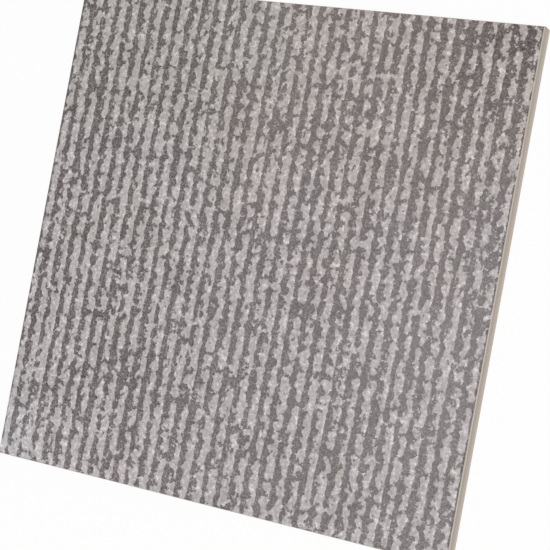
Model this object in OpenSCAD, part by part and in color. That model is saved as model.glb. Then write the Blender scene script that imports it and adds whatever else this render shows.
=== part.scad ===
// Square porcelain stoneware tile for laying out of doors, pressed and fired in one piece.
// Its face has broken ribs of unequal width, all running the same way, with a shallow groove
// between each two. The four edges are ground square, with a fine bevel round the face, and
// the back has the shallow square recesses that the press leaves.
// The tile lies face up on its back. Its origin is at the middle of the back, the ribs run
// along Y, and the face looks up.

/* [Tile] */
// Length of each side of the square
side = 600; // [300:10:900]
// Thickness, from the back to the top of the ribs
thickness = 20; // [14:0.5:30]
// Width of the ground bevel round the face
face_bevel = 1.2; // [0.4:0.1:2]
// Width of the bevel round the back
back_bevel = 0.6; // [0.2:0.1:1.5]

/* [Ribs] */
// Distance from the line of one rib to the line of the next
rib_pitch = 17.24; // [15:0.01:30]
// Mean distance from a rib's line to its straight side, on the right
straight_side = 3.7; // [2.5:0.1:5]
// Mean distance from a rib's line to its ragged side, on the left
ragged_side = 5.5; // [4:0.1:7]
// How far the straight side wanders to either side of its mean
straight_wander = 0.4; // [0:0.1:1]
// How far the ragged side wanders to either side of its mean
ragged_wander = 2.4; // [0:0.1:3]
// How much narrower the ribs are at the far end than at the near end
far_narrowing = 0.8; // [0:0.1:2.5]
// How much narrower the ribs are at the right edge than at the left edge
right_narrowing = 1.4; // [0:0.1:2.5]
// Least width of a rib
least_rib = 3; // [1.5:0.1:4]
// Height of the ribs above the grooves
groove_depth = 0.6; // [0.3:0.05:1.5]
// Width of the plain groove along the left and right edges
edge_groove = 2.2; // [2:0.1:5]
// Length of one step along the ragged side
ragged_step = 13; // [10:0.5:30]
// Share of the steps at which a rib is broken through, outside the worn patches
broken_share = 0.05; // [0:0.01:0.12]
// Number that picks one spread of the ragged sides and breaks
pattern_seed = 7; // [1:1:99]

/* [Back] */
// Distance from one recess of the back to the next
recess_pitch = 47; // [30:1:80]
// Width of the land between two recesses
recess_land = 9; // [5:0.5:15]
// Depth of the recesses
recess_depth = 1; // [0.4:0.1:2]
// Least width of the plain border round the recesses
back_border = 18; // [10:1:40]

/* [Hidden] */

fired_body = [0.69, 0.65, 0.60];
glazed_face = [0.68, 0.66, 0.65];

half = side / 2;
floor_z = thickness - groove_depth;
// A rib's prism starts this far inside the slab, and a cutter runs this far past the tile
bite = 1;

// Ribs: how many fit across, where the plain groove at an edge may take up to half the width
// of the outermost rib, and how many steps each has along its length
rib_count = floor((side - 2 * edge_groove - (straight_side + ragged_side) / 2) / rib_pitch) + 1;
steps = round(side / ragged_step);
// The straight side turns a corner at every third step
straight_every = 3;
// Most that a corner of a rib is shifted along the rib, as a share of one step
corner_shift = 0.3;
seeds_per_rib = 4;

// The ribs were not set out evenly. Each pair is a share of the way across the tile, and
// how far a rib there stands to the right of its even place
rib_drift = [
    [0, 0.6],
    [0.12, 2],
    [0.41, 2.7],
    [0.5, 4.9],
    [0.65, 4.8],
    [0.85, 2.9],
    [0.88, 0.4],
    [1, 1.2]
];
// Each pair is a share of the way across, and how far the far end of a rib there leans right
rib_lean = [[0, 1.6], [0.45, 2.1], [0.65, 1.2], [1, 0.6]];

// Worn patches, in which every rib is broken through: the middle of each, across and along
// the tile, and its radius
worn_patches = [
    [-256, 163, 11],
    [-210, 106, 11],
    [-148, -150, 13],
    [-136, -177, 11],
    [-134, -95, 12],
    [-128, -232, 11],
    [-48, -190, 11],
    [3, 54, 11],
    [6, 157, 12],
    [77, -56, 12]
];

// Recesses: an even number each way, so that two lands cross at the middle of the back
recess_count = 2 * floor((side - 2 * back_border + recess_land) / recess_pitch / 2);
recess_w = recess_pitch - recess_land;

// Chance numbers of one rib. Each use of them has its own kind, from 0 up
function chance(k, kind, low, high) =
    rands(low, high, steps + 1, pattern_seed * 1000 + k * seeds_per_rib + kind);

// How far along the tile step j begins, with the ends on the edges
function station(j) = -half + side * j / steps;
function along(j, shift) = station(j) + (j == 0 || j == steps ? 0 : shift * side / steps);

// A rib's line at a place along the tile
function line_x(k, y) =
    let (across = k / (rib_count - 1))
    (k - (rib_count - 1) / 2) * rib_pitch
    + lookup(across, rib_drift) + lookup(across, rib_lean) * y / half;

function straight_x(k, y, wander) =
    min(line_x(k, y) + straight_side + wander * straight_wander, half - edge_groove);

function ragged_x(k, y, wander) =
    let (
        to_far = far_narrowing * y / side,
        to_right = right_narrowing * (k / (rib_count - 1) - 0.5)
    )
    max(
        min(
            line_x(k, y) - ragged_side + to_far + to_right + wander * ragged_wander,
            straight_x(k, y, -1) - least_rib
        ),
        -half + edge_groove
    );

// Middle of rib k's top, halfway between step j and the next
function rib_middle(k, j) =
    let (y = station(j + 0.5))
    [line_x(k, y) + (straight_side - ragged_side) / 2, y];

// True at a place in one of the worn patches
function worn(place) =
    len([for (patch = worn_patches) if (norm(place - [patch[0], patch[1]]) < patch[2]) patch]) > 0;

// True where a rib is broken between step j and the next
function broken(k, j) = chance(k, 3, 0, 1)[j] < broken_share || worn(rib_middle(k, j));

// The step at which an unbroken length that starts at step j ends
function length_end(k, j) = j >= steps || broken(k, j) ? j : length_end(k, j + 1);

// Outline of one unbroken length of rib, from step a to step b
function rib_outline(k, a, b) =
    let (
        ragged = chance(k, 0, -1, 1),
        straight = chance(k, 1, -1, 1),
        shift = chance(k, 2, -corner_shift, corner_shift)
    )
    concat(
        [
            for (j = [a:b])
                if (j == a || j == b || j % straight_every == 0)
                    let (y = along(j, -shift[j]))
                    [straight_x(k, y, straight[j]), y]
        ],
        [
            for (i = [a:b])
                let (j = a + b - i, y = along(j, shift[j]))
                [ragged_x(k, y, ragged[j]), y]
        ]
    );

// Slab up to the floor of the grooves
module slab() {
    translate([-half, -half, 0])
        cube([side, side, floor_z]);
}

// One rib, as its unbroken lengths
module rib(k) {
    for (a = [0:steps - 1])
        if (!broken(k, a) && (a == 0 || broken(k, a - 1)))
            linear_extrude(groove_depth + bite)
                polygon(rib_outline(k, a, length_end(k, a)));
}

// All the ribs, let into the slab by one bite
module ribs() {
    translate([0, 0, floor_z - bite])
        for (k = [0:rib_count - 1])
            rib(k);
}

// Wedges that take a bevel of one width off the four edges at height z, where up is 1 for
// the face and -1 for the back
module bevel_cut(width, z, up) {
    for (turn = [0:90:270])
        rotate([0, 0, turn])
            translate([half, half + bite, z])
                rotate([90, 0, 0])
                    linear_extrude(side + 2 * bite)
                        polygon([
                            [-width - bite, up * bite],
                            [bite, up * bite],
                            [bite, -up * (width + bite)]
                        ]);
}

// Square recesses in the back
module recesses() {
    first = -(recess_count - 1) / 2 * recess_pitch;
    for (i = [0:recess_count - 1])
        for (j = [0:recess_count - 1])
            translate([
                first + i * recess_pitch - recess_w / 2,
                first + j * recess_pitch - recess_w / 2,
                -bite
            ])
                cube([recess_w, recess_w, recess_depth + bite]);
}

module tile() {
    difference() {
        union() {
            color(fired_body) slab();
            color(glazed_face) ribs();
        }
        color(fired_body) bevel_cut(face_bevel, thickness, 1);
        color(fired_body) bevel_cut(back_bevel, 0, -1);
        color(fired_body) recesses();
    }
}

tile();
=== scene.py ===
import math

import bmesh
import bpy
import numpy as np
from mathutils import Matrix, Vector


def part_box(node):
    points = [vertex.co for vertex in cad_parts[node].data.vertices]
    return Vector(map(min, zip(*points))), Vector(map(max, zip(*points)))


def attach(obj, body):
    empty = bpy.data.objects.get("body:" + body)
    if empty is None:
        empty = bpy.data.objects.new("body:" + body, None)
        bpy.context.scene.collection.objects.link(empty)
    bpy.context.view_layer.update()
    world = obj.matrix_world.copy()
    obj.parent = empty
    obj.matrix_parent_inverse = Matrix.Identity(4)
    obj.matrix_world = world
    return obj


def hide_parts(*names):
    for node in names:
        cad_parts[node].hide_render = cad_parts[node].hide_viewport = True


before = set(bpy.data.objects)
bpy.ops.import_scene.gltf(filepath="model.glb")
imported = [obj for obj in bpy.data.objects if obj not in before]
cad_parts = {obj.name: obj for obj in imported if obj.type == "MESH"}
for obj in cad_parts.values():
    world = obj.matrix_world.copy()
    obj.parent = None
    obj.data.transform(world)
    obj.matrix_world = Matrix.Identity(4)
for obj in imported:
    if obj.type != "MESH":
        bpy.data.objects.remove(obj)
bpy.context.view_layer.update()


# The camera. It looks down on the face from the tile's right, rolled a little to the left,
# through a long lens. Its place and turn were solved from the four edges of the face.
PHOTO_WIDTH_PX = 550
FOCAL_LENGTH_PX = 1523.9
SENSOR_WIDTH_MM = 36
CAMERA_PLACE = (0.79045, -0.0499, 1.62734)
CAMERA_TURN_DEG = (5.8518, 24.6111, 11.5630)

bpy.ops.object.select_all(action="DESELECT")
bpy.ops.object.camera_add(
    location=CAMERA_PLACE, rotation=[math.radians(turn) for turn in CAMERA_TURN_DEG]
)
camera = bpy.context.object
camera.name = "camera"
camera.data.sensor_width = SENSOR_WIDTH_MM
camera.data.lens = FOCAL_LENGTH_PX / PHOTO_WIDTH_PX * SENSOR_WIDTH_MM
bpy.context.scene.camera = camera


# The studio. A pale floor runs out of sight under an even white sky, and one large soft lamp
# hangs over the right side. Only the floor's own look is lifted to white, so that it
# keeps the shadow of the tile.
FLOOR_LENGTH = 14
FLOOR_GREY = (0.8, 0.8, 0.8, 1)
FLOOR_LIFT = 0.94
WHITE = (1, 1, 1, 1)
SKY_LEVEL = 0.55
LAMP_PLACE = (2.9, -0.8, 4.6)
LAMP_SIZE = 3
LAMP_WATTS = 166


def add_node(tree, kind, inputs=(), output=0, **settings):
    """Adds a node to a tree, sets it up, feeds its inputs and gives back one of its outputs."""
    node = tree.nodes.new(kind)
    for name, value in settings.items():
        setattr(node, name, value)
    for key, value in dict(inputs).items():
        if isinstance(value, bpy.types.NodeSocket):
            tree.links.new(value, node.inputs[key])
        else:
            node.inputs[key].default_value = value
    return node.outputs[output] if node.outputs else None


def seen_ray(tree):
    """1 on a ray that comes from the camera or by a reflection, and 0 on any other."""
    rays = tree.nodes.new("ShaderNodeLightPath").outputs
    seen = rays["Is Camera Ray"]
    for name in ("Is Glossy Ray", "Is Transmission Ray"):
        seen = add_node(tree, "ShaderNodeMath", {0: seen, 1: rays[name]}, operation="MAXIMUM")
    return seen


bpy.ops.mesh.primitive_plane_add(size=FLOOR_LENGTH)
floor = bpy.context.object
floor.name = "floor"
floor_finish = bpy.data.materials.new("pale floor")
floor_finish.use_nodes = True
floor_tree = floor_finish.node_tree
floor_tree.nodes.clear()
lift = add_node(
    floor_tree, "ShaderNodeMath", {0: seen_ray(floor_tree), 1: FLOOR_LIFT}, operation="MULTIPLY"
)
lit_floor = add_node(floor_tree, "ShaderNodeBsdfDiffuse", {"Color": FLOOR_GREY})
white_floor = add_node(floor_tree, "ShaderNodeEmission", {"Color": WHITE, "Strength": 1})
floor_look = add_node(floor_tree, "ShaderNodeMixShader", {0: lift, 1: lit_floor, 2: white_floor})
add_node(floor_tree, "ShaderNodeOutputMaterial", {"Surface": floor_look})
floor.data.materials.append(floor_finish)

sky = bpy.data.worlds.new("studio sky")
sky.use_nodes = True
sky_tree = sky.node_tree
sky_tree.nodes.clear()
dim_sky = add_node(sky_tree, "ShaderNodeBackground", {"Color": WHITE, "Strength": SKY_LEVEL})
white_sky = add_node(sky_tree, "ShaderNodeBackground", {"Color": WHITE, "Strength": 1})
sky_look = add_node(
    sky_tree, "ShaderNodeMixShader", {0: seen_ray(sky_tree), 1: dim_sky, 2: white_sky}
)
add_node(sky_tree, "ShaderNodeOutputWorld", {"Surface": sky_look})
bpy.context.scene.world = sky
bpy.context.scene.view_settings.view_transform = "Standard"

bpy.ops.object.light_add(type="AREA", location=LAMP_PLACE)
lamp = bpy.context.object
lamp.name = "soft_lamp"
lamp.data.size = LAMP_SIZE
lamp.data.energy = LAMP_WATTS
lamp.rotation_euler = lamp.location.to_track_quat("Z", "Y").to_euler()


# The tile's shape. The real one is porcelain stoneware, dry-pressed and fired in one piece:
# the die gives the face its ribs and the back its recesses, and the four edges are then
# ground square, with a fine bevel round the face and a finer one round the back.
MM = 0.001
FACE_BEVEL = 1.2 * MM
BACK_BEVEL = 0.6 * MM
GROOVE_DEPTH = 0.6 * MM
# Cells of the face's mesh, across the ribs and along them
FACE_CELLS = (350, 236)
RECESS_COUNT = 12
RECESS_PITCH = 47 * MM
RECESS_LAND = 9 * MM
RECESS_DEPTH = 1.0 * MM
RECESS_DRAFT = 0.6 * MM
RECESS_CORNER = 3 * MM
CORNER_SEGMENTS = 3
NEARLY = 0.01 * MM

_, tile_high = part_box("tile")
half, top = tile_high.x, tile_high.z
cells_across, cells_along = FACE_CELLS

bpy.ops.object.select_all(action="DESELECT")
bpy.ops.mesh.primitive_grid_add(
    x_subdivisions=cells_across,
    y_subdivisions=cells_along,
    size=2 * (half - FACE_BEVEL),
    calc_uvs=False,
    location=(0, 0, top),
)
tile = bpy.context.object
tile.name = "ribbed_tile"
bpy.ops.object.transform_apply(location=True, rotation=True, scale=True)

# From the border of the face: the bevel's inner and outer lines, the edge and the back's bevel
bpy.ops.object.mode_set(mode="EDIT")
bpy.ops.mesh.select_mode(type="EDGE")
bpy.ops.mesh.select_all(action="SELECT")
bpy.ops.mesh.region_to_loop()
reach, height = half - FACE_BEVEL, top
for next_reach, next_height in (
    (half - FACE_BEVEL + GROOVE_DEPTH, top),
    (half, top - FACE_BEVEL),
    (half, BACK_BEVEL),
    (half - BACK_BEVEL, 0),
):
    bpy.ops.mesh.extrude_edges_move(
        TRANSFORM_OT_translate={"value": (0, 0, next_height - height)}
    )
    growth = next_reach / reach
    bpy.ops.transform.resize(value=(growth, growth, 1), center_override=(0, 0, 0))
    reach, height = next_reach, next_height

# The back, with its drafted, round-cornered recesses
bpy.ops.mesh.select_mode(type="FACE")
bpy.ops.mesh.primitive_grid_add(
    x_subdivisions=RECESS_COUNT,
    y_subdivisions=RECESS_COUNT,
    size=RECESS_COUNT * RECESS_PITCH,
    calc_uvs=False,
)
bpy.ops.mesh.flip_normals()
bpy.ops.mesh.inset(thickness=RECESS_LAND / 2, use_individual=True)
bpy.ops.mesh.inset(thickness=RECESS_DRAFT, depth=-RECESS_DEPTH, use_individual=True)
bpy.ops.mesh.select_mode(type="EDGE")
bpy.ops.mesh.select_all(action="DESELECT")
shape = bmesh.from_edit_mesh(tile.data)
for edge in shape.edges:
    low_end, high_end = sorted(corner.co.z for corner in edge.verts)
    off_middle = max(abs(value) for corner in edge.verts for value in corner.co.xy)
    rises = abs(low_end) < NEARLY and abs(high_end - RECESS_DEPTH) < NEARLY
    edge.select_set(rises and off_middle < half - FACE_BEVEL)
bmesh.update_edit_mesh(tile.data)
bpy.ops.mesh.bevel(offset=RECESS_CORNER, segments=CORNER_SEGMENTS, affect="EDGES")

# The plain border between the recesses and the back's bevel closes the shape
bpy.ops.mesh.select_all(action="DESELECT")
bpy.ops.mesh.select_non_manifold(use_wire=False, use_multi_face=False, use_non_contiguous=False)
bpy.ops.mesh.fill(use_beauty=True)
bpy.ops.mesh.select_all(action="SELECT")
bpy.ops.mesh.normals_make_consistent(inside=False)

# Extruding and filling leave edges and facets in a chance order, so they get a fixed one
shape = bmesh.from_edit_mesh(tile.data)
shape.verts.index_update()
for parts in (shape.edges, shape.faces):
    in_order = sorted(parts, key=lambda part: sorted(corner.index for corner in part.verts))
    for rank, part in enumerate(in_order):
        part.index = rank
    parts.sort()
bmesh.update_edit_mesh(tile.data)
bpy.ops.object.mode_set(mode="OBJECT")


# How the ribs are set out, as four values kept at each corner of the mesh. rib_number counts
# the ribs from the left: its whole part changes at each rib's straight side. rib_strength
# says how broad and whole the ribs are, with the worn patches of the real face as dips.
# groove_lift says how pale the grooves are, and groove_contrast how strong their mottle is.
RIB_PITCH = 17.24 * MM
FIRST_STRAIGHT_SIDE = -289.7 * MM
RIB_SPAN = 586.2 * MM
# A share of the way across, and how far a rib there stands to the right of its even place
RIB_DRIFT_MM = (
    (0, 0.6),
    (0.12, 2),
    (0.41, 2.7),
    (0.5, 4.9),
    (0.65, 4.8),
    (0.85, 2.9),
    (0.88, 0.4),
    (1, 1.2),
)
# A share of the way across, and how far the far end of a rib there leans to the right
RIB_LEAN_MM = ((0, 1.6), (0.45, 2.1), (0.65, 1.2), (1, 0.6))
# A share of the way across, and how strong the ribs are there
RIB_STRENGTH = ((0, 0.195), (1, -0.255))
# Middle of a patch, its reach across and along, in mm, and how much weaker the ribs are there
WORN_PATCHES = (
    (240, 250, 80, 90, 0.1),
    (-290, -240, 30, 70, -0.2),
    (-110, 200, 60, 100, -0.14),
    (0, 100, 60, 60, -0.16),
    (6, 158, 15, 16, 2.0),
    (40, 150, 12, 8, 1.2),
    (2, 55, 14, 8, 1.2),
    (-153, -149, 26, 9, 1.7),
    (-136, -178, 14, 15, 2.1),
    (-133, -95, 15, 10, 2.1),
    (-177, -72, 13, 9, 1.7),
    (-255, 163, 18, 22, 1.6),
    (-284, 145, 10, 26, 0.2),
    (-211, 107, 14, 11, 1.3),
    (-185, 97, 10, 9, 1.2),
    (-258, 100, 12, 9, 1.1),
    (-268, 125, 32, 32, -0.18),
    (-129, -233, 12, 10, 1.7),
    (-48, -190, 11, 10, 1.1),
    (78, -56, 15, 12, 2.0),
    (121, -48, 12, 10, 1.2),
    (227, 274, 18, 18, 1.5),
    (281, 288, 12, 14, 0.4),
    (251, 228, 14, 18, 1.0),
    (198, 198, 17, 15, 1.8),
    (189, 113, 14, 12, 1.4),
    (147, -86, 14, 14, 1.1),
    (174, -212, 14, 12, 1.0),
    (20, 46, 12, 10, 0.7),
    (-12, 91, 12, 12, 0.6),
    (-265, -206, 14, 12, -0.6),
    (-184, 156, 22, 12, -0.9),
    (-282, 208, 10, 14, -0.5),
    (-197, -78, 12, 10, -1.0),
    (-87, -101, 12, 12, -0.8),
    (-228, -158, 16, 14, -1.0),
    (-83, -249, 14, 14, -1.0),
    (105, -98, 12, 12, -1.0),
    (18, -69, 14, 12, -1.0),
    (192, -21, 12, 12, -0.7),
)
# A share of the way across, and how pale the grooves are there
GROOVE_LIFT = ((0, 0), (0.2, 0.045), (0.32, 0.085), (0.45, 0.155), (0.7, 0.19), (1, 0.24))
# A share of the way across, and how strong the mottle of the grooves is there
GROOVE_CONTRAST = ((0, 0.97), (0.15, 1.07), (0.45, 1.11), (0.65, 0.97), (1, 0.92))
# Middle of a patch, its reach across and along, in mm, and how much darker the grooves are there
DARK_PATCHES = (
    (285, 290, 75, 100, 0.25),
    (195, 230, 40, 70, 0.05),
    (20, 230, 70, 90, -0.04),
    (-5, 110, 60, 45, -0.04),
    (235, -80, 100, 130, -0.09),
    (-275, -262, 45, 38, -0.09),
    (-170, -262, 120, 26, -0.045),
    (-20, -300, 220, 9, 0.05),
)

corners = np.empty(len(tile.data.vertices) * 3)
tile.data.vertices.foreach_get("co", corners)
corner_x, corner_y, _ = corners.reshape(-1, 3).T
across = (corner_x - FIRST_STRAIGHT_SIDE) / RIB_SPAN
along = corner_y / half


def by_share_across(pairs):
    """A value at each corner from pairs of a share of the way across and the value there."""
    return np.interp(across, *zip(*pairs))


shift = (by_share_across(RIB_DRIFT_MM) + by_share_across(RIB_LEAN_MM) * along) * MM
rib_number = (corner_x - shift - FIRST_STRAIGHT_SIDE) / RIB_PITCH
rib_strength = by_share_across(RIB_STRENGTH)
groove_lift = by_share_across(GROOVE_LIFT)
groove_contrast = by_share_across(GROOVE_CONTRAST)
for values, patches in ((rib_strength, WORN_PATCHES), (groove_lift, DARK_PATCHES)):
    for patch_x, patch_y, reach_x, reach_y, loss in patches:
        away_x = (corner_x / MM - patch_x) / reach_x
        away_y = (corner_y / MM - patch_y) / reach_y
        values -= loss * np.exp(-away_x**2 - away_y**2)
for name, values in (
    ("rib_number", rib_number),
    ("rib_strength", rib_strength),
    ("groove_lift", groove_lift),
    ("groove_contrast", groove_contrast),
):
    tile.data.attributes.new(name, "FLOAT", "POINT").data.foreach_set("value", values)


# The ribbed relief. The die was cut from split stone, so each rib has a straight side, a torn
# side and breaks. The same nodes raise the ribs here and colour them further down.
SOFT_ROUGHNESS = 0.5
# A seed moves its noise along X, and by this share of that along Y
SEED_SLOPE = 0.7
BUSY_SIZE = 26 * MM
BUSY_RANGE = (0.36, 0.64)
# The tears are read in spreads of their noise, which is rougher where the stone is busy
TEAR_SIZE = 8 * MM
TEAR_STRETCH = 1.15
TEAR_ROUGHNESS = (0.36, 0.58)
NOISE_SPREAD = 0.087
TEAR_REACH = 4
# Broad and small changes of a rib's strength, and how far its line wanders, in pitches
BROAD_SIZE = 34 * MM
BROAD_REACH = 1.8
ISLAND_SIZE = 4 * MM
ISLAND_RANGE = (0.64, 0.78)
ISLAND_GAIN = 2.5
WANDER_LENGTH = 45 * MM
WANDER = 0.08
# How surely a place is on a rib, by its distance past a straight side as a share of a pitch
RIB_LEVELS = (
    (0, 0.2),
    (0.045, -1.0),
    (0.09, -1.85),
    (0.2, -2.35),
    (0.32, -1.8),
    (0.45, -0.35),
    (0.6, 0.65),
    (0.76, 1.3),
    (0.9, 1.5),
    (0.95, 1.15),
    (1, 0.2),
)
LEVEL_REACH = 2.5
# Along the left edge the ribs are worn down
WORN_EDGE = 4.5 * MM
WORN_EDGE_LOSS = 2.4
# Along the right edge runs a groove, in dashes. It is faint at the far end, and whole from a
# place on that is given as a share of half a side from the middle
EDGE_GROOVE = 3.3 * MM
EDGE_GROOVE_RISE = (2 * MM, 0.5 * MM)
EDGE_GROOVE_LOSS = 4.5
FAR_GROOVE_SHARE = 0.3
WHOLE_GROOVE_FROM = -0.4
DASH_SIZE = 11 * MM
DASH_RANGE = (0.38, 0.56)
LEAST_DASH = 0.1
SLOPE_SOFTNESS = 0.45
# A fine grain lowers the crests a little, and makes the grooves uneven both ways
GRAIN_SIZE = 4 * MM
GRAIN_RANGE = (0.25, 0.75)
CREST_GRAIN = 0.1 * MM
GROOVE_GRAIN = 0.15 * MM
SMOOTH_UP_TO_DEG = 42


def calculate(tree, operation, first, second=0.0):
    """The result of one operation on a value, or on two."""
    return add_node(tree, "ShaderNodeMath", {0: first, 1: second}, operation=operation)


def remap(tree, value, start, end, low=0.0, high=1.0, smooth=False):
    """Turns the stretch of a value from start to end into low to high, and holds it there."""
    return add_node(
        tree,
        "ShaderNodeMapRange",
        {"Value": value, "From Min": start, "From Max": end, "To Min": low, "To Max": high},
        interpolation_type="SMOOTHSTEP" if smooth else "LINEAR",
    )


def stone_noise(tree, place, size, detail=3.0, roughness=0.7, seed=0.0):
    """Cloudy chance values round 0.5 with features of about one size, the same at every height."""
    moved = add_node(
        tree, "ShaderNodeVectorMath", {0: place, 1: (seed, seed * SEED_SLOPE, 0)}, operation="ADD"
    )
    return add_node(
        tree,
        "ShaderNodeTexNoise",
        {"Vector": moved, "Scale": 1 / size, "Detail": detail, "Roughness": roughness},
        noise_dimensions="2D",
    )


def soft_noise(tree, place, size, seed, detail=1.0):
    """The same kind of chance values, with soft edges and little fine detail."""
    return stone_noise(tree, place, size, detail, SOFT_ROUGHNESS, seed)


def split(tree, place):
    """The X, Y and Z of a place."""
    node = tree.nodes.new("ShaderNodeSeparateXYZ")
    tree.links.new(place, node.inputs[0])
    return node.outputs


def rib_level(tree, number):
    """The level of RIB_LEVELS at a rib number."""
    node = tree.nodes.new("ShaderNodeFloatCurve")
    curve = node.mapping.curves[0]
    while len(curve.points) < len(RIB_LEVELS):
        curve.points.new(0.5, 0.5)
    for point, (share, level) in zip(curve.points, RIB_LEVELS):
        point.location = (share, 0.5 + level / 2 / LEVEL_REACH)
        point.handle_type = "AUTO_CLAMPED"
    node.mapping.update()
    tree.links.new(calculate(tree, "FRACT", number), node.inputs["Value"])
    return remap(tree, node.outputs[0], 0, 1, -LEVEL_REACH, LEVEL_REACH)


def busyness(tree, place):
    """0 where the stone broke calmly and 1 where it is finely broken up."""
    return remap(tree, soft_noise(tree, place, BUSY_SIZE, seed=3.9, detail=2), *BUSY_RANGE)


def rib_presence(tree, place, number, strength, busy, softness):
    """0 in a groove and 1 on a rib, with torn edges as soft as the softness says."""
    fineness = remap(tree, busy, 0, 1, *TEAR_ROUGHNESS)
    stretched = add_node(
        tree, "ShaderNodeVectorMath", {0: place, 1: (1, 1 / TEAR_STRETCH, 1)}, operation="MULTIPLY"
    )
    torn = stone_noise(tree, stretched, TEAR_SIZE, roughness=fineness)
    spread = TEAR_REACH * NOISE_SPREAD
    torn = remap(tree, torn, 0.5 - spread, 0.5 + spread, -TEAR_REACH, TEAR_REACH)
    wander = soft_noise(tree, place, WANDER_LENGTH, seed=2.7)
    wander = remap(tree, wander, 0, 1, -WANDER, WANDER)
    number = calculate(tree, "ADD", number, wander)
    surely = calculate(tree, "ADD", rib_level(tree, number), strength)
    broad = soft_noise(tree, place, BROAD_SIZE, seed=4.9)
    broad = remap(tree, broad, 0, 1, -BROAD_REACH, BROAD_REACH)
    islands = soft_noise(tree, place, ISLAND_SIZE, seed=9.4)
    islands = remap(tree, islands, *ISLAND_RANGE, 0, ISLAND_GAIN)
    for part in (torn, broad, islands):
        surely = calculate(tree, "ADD", surely, part)

    x, y, _ = split(tree, place)
    worn = remap(tree, x, -half, WORN_EDGE - half, WORN_EDGE_LOSS, 0)
    rise_in, rise_out = EDGE_GROOVE_RISE
    in_groove = remap(tree, x, half - EDGE_GROOVE - rise_in, half - EDGE_GROOVE + rise_out)
    far_loss = FAR_GROOVE_SHARE * EDGE_GROOVE_LOSS
    groove_loss = remap(tree, y, half, WHOLE_GROOVE_FROM * half, far_loss, EDGE_GROOVE_LOSS)
    dashes = soft_noise(tree, place, DASH_SIZE, seed=5.5, detail=3)
    dashes = remap(tree, dashes, *DASH_RANGE, LEAST_DASH, 1)
    in_groove = calculate(tree, "MULTIPLY", in_groove, dashes)
    surely = calculate(tree, "SUBTRACT", surely, worn)
    lost = calculate(tree, "MULTIPLY", in_groove, groove_loss)
    surely = calculate(tree, "SUBTRACT", surely, lost)
    return remap(tree, surely, -softness, softness, smooth=True)


relief = bpy.data.node_groups.new("ribbed relief", "GeometryNodeTree")
relief.interface.new_socket("Tile", in_out="INPUT", socket_type="NodeSocketGeometry")
relief.interface.new_socket("Tile", in_out="OUTPUT", socket_type="NodeSocketGeometry")
flat_tile = relief.nodes.new("NodeGroupInput").outputs[0]
place = add_node(relief, "GeometryNodeInputPosition")
number, strength = (
    add_node(relief, "GeometryNodeInputNamedAttribute", {"Name": name}, data_type="FLOAT")
    for name in ("rib_number", "rib_strength")
)
busy = busyness(relief, place)
rib = rib_presence(relief, place, number, strength, busy, SLOPE_SOFTNESS)
grain = stone_noise(relief, place, GRAIN_SIZE, seed=3.1)
crest = remap(relief, grain, *GRAIN_RANGE, top - CREST_GRAIN, top)
floor_z = top - GROOVE_DEPTH
groove_floor = remap(relief, grain, *GRAIN_RANGE, floor_z - GROOVE_GRAIN, floor_z + GROOVE_GRAIN)
surface = add_node(relief, "ShaderNodeMix", {0: rib, 2: groove_floor, 3: crest}, data_type="FLOAT")
place_x, place_y, place_z = split(relief, place)
from_middle_x = calculate(relief, "ABSOLUTE", place_x)
from_middle_y = calculate(relief, "ABSOLUTE", place_y)
from_middle = calculate(relief, "MAXIMUM", from_middle_x, from_middle_y)
bevel_plane = calculate(relief, "SUBTRACT", top + half - FACE_BEVEL, from_middle)
surface = calculate(relief, "MINIMUM", surface, bevel_plane)
raised = add_node(relief, "ShaderNodeCombineXYZ", {0: place_x, 1: place_y, 2: surface})
on_face = calculate(relief, "GREATER_THAN", place_z, top - NEARLY)
ribbed_tile = add_node(
    relief,
    "GeometryNodeSetPosition",
    {"Geometry": flat_tile, "Selection": on_face, "Position": raised},
)
relief.links.new(ribbed_tile, relief.nodes.new("NodeGroupOutput").inputs[0])

bpy.context.view_layer.objects.active = tile
tile.modifiers.new("ribs", "NODES").node_group = relief
bpy.ops.object.modifier_apply(modifier="ribs")
bpy.ops.object.select_all(action="DESELECT")
tile.select_set(True)
bpy.ops.object.shade_smooth_by_angle(angle=math.radians(SMOOTH_UP_TO_DEG))


# The face's finish. A matt glaze and an ink print follow the ribs: pale grey on the ribs,
# with lighter flecks and dark specks, and dark grey, finely mottled, in the grooves.
def tone(red, green, blue):
    """A colour as Blender keeps it, from its 0 to 255 values in a picture."""
    return tuple(
        (value / 255 / 12.92) if value < 11 else ((value / 255 + 0.055) / 1.055) ** 2.4
        for value in (red, green, blue)
    ) + (1,)


def grey(level):
    """One of the face's greys, which all lean a little to red."""
    return tone(level + 4.5, level - 2.8, level - 2.5)


RIB_TONES = (
    (0.29, grey(156)),
    (0.38, grey(170)),
    (0.45, grey(175.5)),
    (0.50, grey(179.5)),
    (0.55, grey(184.5)),
    (0.60, grey(192.5)),
    (0.65, grey(204)),
    (0.71, grey(219)),
)
GROOVE_TONES = (
    (0.29, grey(73)),
    (0.38, grey(88)),
    (0.45, grey(98.5)),
    (0.50, grey(104.5)),
    (0.56, grey(113.5)),
    (0.62, grey(127)),
    (0.71, grey(149)),
)
PALE_GROOVE = grey(165)
PRINT_SOFTNESS = 0.55
RIB_MOTTLE = 4.2 * MM
GROOVE_MOTTLE = 2.55 * MM
MOTTLE_ROUGHNESS = (0.5, 0.75)
MOTTLE_CONTRAST = (0.78, 1.18)
WIDE_MOTTLE = 2.5
WIDE_SHARE = 0.33
SLOW_SIZE = 36 * MM
RIB_SWING, GROOVE_SWING = 0.14, 0.32
# Painted shade darkens the groove along the right edge, in patches
EDGE_SHADE_SIZE = 6 * MM
EDGE_SHADE_RANGE = (0.42, 0.58)
EDGE_SHADE_REACH = 1.5 * MM
EDGE_SHADE_TINT = (0.6, 0.64, 0.58, 1)
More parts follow.
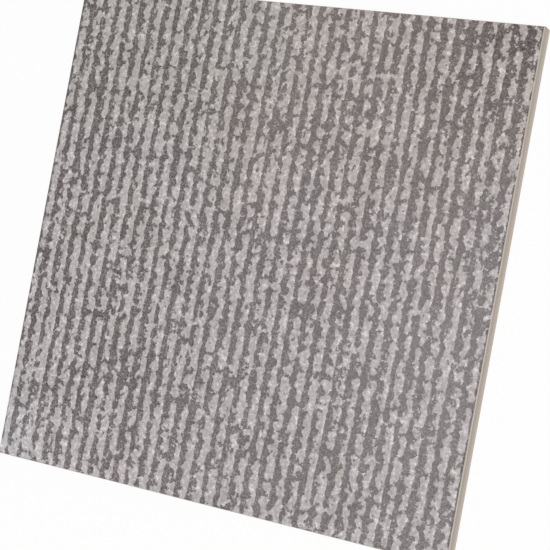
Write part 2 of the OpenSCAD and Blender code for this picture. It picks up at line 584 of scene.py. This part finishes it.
# Along the right edge the grinding of the bevel has bared a fine rim of the face
BARE_BODY = tone(192, 185, 179)
BARE_RIM = 0.5 * MM
RIM_SOFTNESS = 0.1 * MM
# How rough the glaze is in a groove and on a rib, how much it shines, and its fine grain
GLAZE_ROUGHNESS = (0.86, 0.66)
GLAZE_SPECULAR = 0.3
GLAZE_GRAIN = 1.6 * MM
GLAZE_BUMP = {"Strength": 0.5, "Distance": 0.25 * MM}


def mixed(tree, share, first, second, blend="MIX"):
    """The first colour with a share of the second mixed or multiplied in."""
    return add_node(
        tree,
        "ShaderNodeMix",
        {0: share, 6: first, 7: second},
        output=2,
        data_type="RGBA",
        blend_type=blend,
    )


def tone_ramp(tree, value, tones):
    """The colour of a value, from tones that are each given with the value they stand at."""
    node = tree.nodes.new("ShaderNodeValToRGB")
    ramp = node.color_ramp
    while len(ramp.elements) < len(tones):
        ramp.elements.new(0.5)
    for element, (position, colour) in zip(ramp.elements, tones):
        element.position = position
        element.color = colour
    tree.links.new(value, node.inputs[0])
    return node.outputs[0]


def new_finish(name):
    """A new material with only a surface shader in it, and its node tree, shader and place."""
    material = bpy.data.materials.new(name)
    material.use_nodes = True
    tree = material.node_tree
    shader = tree.nodes["Principled BSDF"]
    return material, tree, shader, add_node(tree, "ShaderNodeTexCoord", output="Object")


def roughen(tree, shader, grain, bump):
    """Gives a shader's surface the bumps of a grain, as strong and deep as the bump says."""
    bumps = add_node(tree, "ShaderNodeBump", {**bump, "Height": grain})
    tree.links.new(bumps, shader.inputs["Normal"])


face_finish, tree, shader, place = new_finish("ribbed glaze")
number, strength, lift, groove_contrast = (
    add_node(tree, "ShaderNodeAttribute", output="Fac", attribute_name=name)
    for name in ("rib_number", "rib_strength", "groove_lift", "groove_contrast")
)
busy = busyness(tree, place)
rib = rib_presence(tree, place, number, strength, busy, PRINT_SOFTNESS)
fineness = remap(tree, busy, 0, 1, *MOTTLE_ROUGHNESS)
contrast = remap(tree, busy, 0, 1, *MOTTLE_CONTRAST)
slow = soft_noise(tree, place, SLOW_SIZE, seed=11.3, detail=2)
mottled_colours = []
for size, seed, tones, swing, gain in (
    (RIB_MOTTLE, 7.3, RIB_TONES, RIB_SWING, 1),
    (GROOVE_MOTTLE, 1.9, GROOVE_TONES, GROOVE_SWING, groove_contrast),
):
    mottle = stone_noise(tree, place, size, roughness=fineness, seed=seed)
    wide = soft_noise(tree, place, WIDE_MOTTLE * size, seed=seed + 1)
    wide = remap(tree, wide, 0, 1, -WIDE_SHARE / 2, WIDE_SHARE / 2)
    mottle = calculate(tree, "ADD", calculate(tree, "SUBTRACT", mottle, 0.5), wide)
    mottle = calculate(tree, "MULTIPLY", mottle, calculate(tree, "MULTIPLY", contrast, gain))
    colour = tone_ramp(tree, calculate(tree, "ADD", mottle, 0.5), tones)
    swung = remap(tree, slow, 0, 1, 1 - swing, 1 + swing)
    mottled_colours.append(
        add_node(tree, "ShaderNodeVectorMath", {0: colour, "Scale": swung}, operation="SCALE")
    )
rib_colour, groove_colour = mottled_colours
face_x, face_y, _ = split(tree, place)
groove_colour = mixed(tree, lift, groove_colour, PALE_GROOVE)
# Painted shade: the groove by the right edge is darkened in patches with a dark greenish tint
by_edge = remap(tree, face_x, half - EDGE_GROOVE - EDGE_SHADE_REACH, half - EDGE_GROOVE)
painted_edge_shade = remap(tree, soft_noise(tree, place, EDGE_SHADE_SIZE, seed=6.2, detail=3), *EDGE_SHADE_RANGE)
painted_edge_shade = calculate(tree, "MULTIPLY", painted_edge_shade, by_edge)
groove_colour = mixed(tree, painted_edge_shade, groove_colour, EDGE_SHADE_TINT, "MULTIPLY")
face_colour = mixed(tree, rib, groove_colour, rib_colour)
rim = half - FACE_BEVEL - BARE_RIM
bare = remap(tree, face_x, rim - RIM_SOFTNESS, rim + RIM_SOFTNESS)
face_colour = mixed(tree, bare, face_colour, BARE_BODY)

# The hue drifts across the face: warmer at the far right, greener at the far left and cooler
# in the near left corner, which is paler too, with a few faint yellow blotches
WARM_TINT = (0.955, 0.94, 0.9, 1)
GREEN_TINT = (0.935, 0.965, 0.925, 1)
COOL_TINT = (0.94, 1, 1.02, 1)
PALE_TINT = (1.14, 1.14, 1.14, 1)
BLOTCH_TINT = (1, 1, 0.955, 1)
BLOTCH_SIZE = 26 * MM
BLOTCH_RANGE = (0.69, 0.73)
DRIFT_SIZE = 130 * MM
DRIFT_RANGE = (0.3, 0.7)
DRIFT = 0.25
# Where a tint sets in and where it is full, as shares of half a side from the middle
FAR_HALF = (0, 0.6)
RIGHT_HALF = (-0.7, 0.3)
LEFT_BORDER = (-0.7, -1)
NEAR_END = (-0.45, -1)
LEFT_HALF = (-0.1, -1)
NEAR_BORDER = (-0.68, -0.84)

share_x = remap(tree, face_x, -half, half, -1, 1)
share_y = remap(tree, face_y, -half, half, -1, 1)
drift = soft_noise(tree, place, DRIFT_SIZE, seed=6.1, detail=2)
drift = remap(tree, drift, *DRIFT_RANGE, -DRIFT, DRIFT)
to_far = remap(tree, calculate(tree, "ADD", share_y, drift), *FAR_HALF)
to_right = remap(tree, calculate(tree, "ADD", share_x, drift), *RIGHT_HALF)
warm = calculate(tree, "MULTIPLY", to_far, to_right)
green = calculate(tree, "SUBTRACT", to_far, warm)
to_left, to_near, by_left, by_near = (
    remap(tree, way, start * half, end * half)
    for way, (start, end) in (
        (face_x, LEFT_BORDER),
        (face_y, NEAR_END),
        (face_x, LEFT_HALF),
        (face_y, NEAR_BORDER),
    )
)
cool = calculate(tree, "MULTIPLY", to_left, to_near)
pale = calculate(tree, "MULTIPLY", by_left, by_near)
blotches = soft_noise(tree, place, BLOTCH_SIZE, seed=12.6, detail=2)
blotches = remap(tree, blotches, *BLOTCH_RANGE)
for share, tint in (
    (warm, WARM_TINT),
    (green, GREEN_TINT),
    (cool, COOL_TINT),
    (pale, PALE_TINT),
    (blotches, BLOTCH_TINT),
):
    face_colour = mixed(tree, share, face_colour, tint, "MULTIPLY")
tree.links.new(face_colour, shader.inputs["Base Color"])
tree.links.new(remap(tree, rib, 0, 1, *GLAZE_ROUGHNESS), shader.inputs["Roughness"])
shader.inputs["Specular IOR Level"].default_value = GLAZE_SPECULAR
roughen(tree, shader, stone_noise(tree, place, GLAZE_GRAIN, seed=8.8), GLAZE_BUMP)


# The ground edges and bevels. The grinding wheel lays the fired body bare: beige, with faint
# green and pink clouds, fine grains and streaks along the edge.
EDGE_TONES = ((0.36, tone(161, 155, 138)), (0.5, tone(166, 153, 142)), (0.62, tone(174, 153, 144)))
CLOUD_SIZE = 22 * MM
# Streaks are so many times as long along the edge as across it
STREAK_STRETCH = 14
STREAK_SIZE = 16 * MM
STREAK_RANGE = (0.35, 0.7)
STREAK_SHARE = 0.45
STREAK_TONE = tone(154, 142, 129)
# Dust lies on the lower part of the edge: where it sets in and is full, as shares of the height
DUST_RANGE = (0.9, 0.1)
DUST_SHARE = 0.8
DUST_TONE = tone(197, 186, 172)
# How far down the bevel its pale tone reaches and is full, as shares of its width
BEVEL_RANGE = (0.8, 0.4)
EDGE_ROUGHNESS = 0.72
EDGE_GRAIN = 4 * MM
EDGE_BUMP = {"Strength": 0.4, "Distance": 0.15 * MM}


def body_noise(tree, place, size, detail):
    """Cloudy chance values round 0.5 that change with the height too."""
    inputs = {"Vector": place, "Scale": 1 / size, "Detail": detail}
    return add_node(tree, "ShaderNodeTexNoise", inputs)


edge_finish, tree, shader, place = new_finish("ground edge")
edge_colour = tone_ramp(tree, body_noise(tree, place, CLOUD_SIZE, detail=2), EDGE_TONES)
streak_place = add_node(
    tree, "ShaderNodeVectorMath", {0: place, 1: (1, 1, STREAK_STRETCH)}, operation="MULTIPLY"
)
streaks = body_noise(tree, streak_place, STREAK_SIZE, detail=4)
streaks = remap(tree, streaks, *STREAK_RANGE, 0, STREAK_SHARE)
edge_colour = mixed(tree, streaks, edge_colour, STREAK_TONE)
_, _, edge_z = split(tree, place)
dust_from, dust_to = DUST_RANGE
dusted = remap(tree, edge_z, dust_from * top, dust_to * top, 0, DUST_SHARE)
edge_colour = mixed(tree, dusted, edge_colour, DUST_TONE)
pale_from, pale_to = BEVEL_RANGE
on_bevel = remap(tree, edge_z, top - pale_from * FACE_BEVEL, top - pale_to * FACE_BEVEL)
edge_colour = mixed(tree, on_bevel, edge_colour, BARE_BODY)
tree.links.new(edge_colour, shader.inputs["Base Color"])
shader.inputs["Roughness"].default_value = EDGE_ROUGHNESS
roughen(tree, shader, body_noise(tree, streak_place, EDGE_GRAIN, detail=5), EDGE_BUMP)


# The back. It is the bare fired body as the press left it, dusted on its lands with the pale
# wash that keeps it from sticking in the kiln.
BACK_TONES = ((0.34, tone(172, 162, 148)), (0.5, tone(180, 170, 156)), (0.64, tone(188, 178, 166)))
BACK_CLOUDS = 30 * MM
# How far up a recess the wash reaches and where it is full, as shares of the recess's depth
LAND_RANGE = (0.5, 0.1)
WASH_SIZE = 7 * MM
WASH_RANGE = (0.4, 0.62)
WASH_SHARE = 0.6
WASH_TONE = tone(206, 200, 190)
BACK_ROUGHNESS = 0.88
BACK_GRAIN = 1.8 * MM
BACK_BUMP = {"Strength": 0.6, "Distance": 0.25 * MM}

back_finish, tree, shader, place = new_finish("pressed back")
back_colour = tone_ramp(tree, stone_noise(tree, place, BACK_CLOUDS, seed=2.2), BACK_TONES)
_, _, back_z = split(tree, place)
wash_from, wash_to = LAND_RANGE
on_land = remap(tree, back_z, wash_from * RECESS_DEPTH, wash_to * RECESS_DEPTH, 0, WASH_SHARE)
wash = remap(tree, stone_noise(tree, place, WASH_SIZE, seed=4.4), *WASH_RANGE)
washed = calculate(tree, "MULTIPLY", on_land, wash)
back_colour = mixed(tree, washed, back_colour, WASH_TONE)
tree.links.new(back_colour, shader.inputs["Base Color"])
shader.inputs["Roughness"].default_value = BACK_ROUGHNESS
roughen(tree, shader, stone_noise(tree, place, BACK_GRAIN, seed=6.6), BACK_BUMP)


# Which finish each facet takes, and a flat map of the tile: the face fills most of it, the
# four edges are strips beside it, and the back is a small square above.
FACE_ON_MAP = 0.8
MAP_GAP = 0.006
EDGE_STRIP = 0.03
BACK_ON_MAP = 0.18
# A facet faces up where its normal's height is over the first, and lies flat over the second
UPWARD, FLAT = 0.2, 0.9

for finish in (face_finish, edge_finish, back_finish):
    tile.data.materials.append(finish)

facet_count = len(tile.data.polygons)
middles = np.empty(facet_count * 3)
normals = np.empty(facet_count * 3)
tile.data.polygons.foreach_get("center", middles)
tile.data.polygons.foreach_get("normal", normals)
middle_x, middle_y, _ = middles.reshape(-1, 3).T
_, _, normal_z = normals.reshape(-1, 3).T
off_middle = np.maximum(abs(middle_x), abs(middle_y))
on_top = normal_z > UPWARD
beveled = on_top & (off_middle > half - FACE_BEVEL) & (normal_z < FLAT)
on_side = (off_middle > half - BACK_BEVEL) & ~on_top
finish_of_facet = np.select([beveled | on_side, on_top], [1, 0], 2)
tile.data.polygons.foreach_set("material_index", finish_of_facet.astype(np.int32))

loop_count = len(tile.data.loops)
loop_corner = np.empty(loop_count, np.int32)
tile.data.loops.foreach_get("vertex_index", loop_corner)
tile.data.vertices.foreach_get("co", corners)
x, y, z = corners.reshape(-1, 3)[loop_corner].T
loop_total = np.empty(facet_count, np.int32)
tile.data.polygons.foreach_get("loop_total", loop_total)
facet_of_loop = np.repeat(np.arange(facet_count), loop_total)
scale_on_map = FACE_ON_MAP / 2 / half
map_x = (x + half) * scale_on_map + MAP_GAP
map_y = (y + half) * scale_on_map + MAP_GAP
along_x = abs(middle_y)[facet_of_loop] > abs(middle_x)[facet_of_loop]
far_side = (middle_x + middle_y)[facet_of_loop] > 0
strip = along_x * 2 + far_side
strip_x = FACE_ON_MAP + (strip + 1) * (EDGE_STRIP + MAP_GAP) - EDGE_STRIP + z * scale_on_map
strip_y = (np.where(along_x, x, y) + half) * scale_on_map + MAP_GAP
back_scale = BACK_ON_MAP / 2 / half
back_x = (half - x) * back_scale + MAP_GAP
back_y = (y + half) * back_scale + FACE_ON_MAP + 2 * MAP_GAP
side_loop, top_loop = on_side[facet_of_loop], on_top[facet_of_loop]
flat_map = np.column_stack(
    [
        np.select([side_loop, top_loop], [strip_x, map_x], back_x),
        np.select([side_loop, top_loop], [strip_y, map_y], back_y),
    ]
)
tile.data.uv_layers.new(name="OFBake").uv.foreach_set("vector", flat_map.ravel())

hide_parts("tile")
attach(tile, "root")
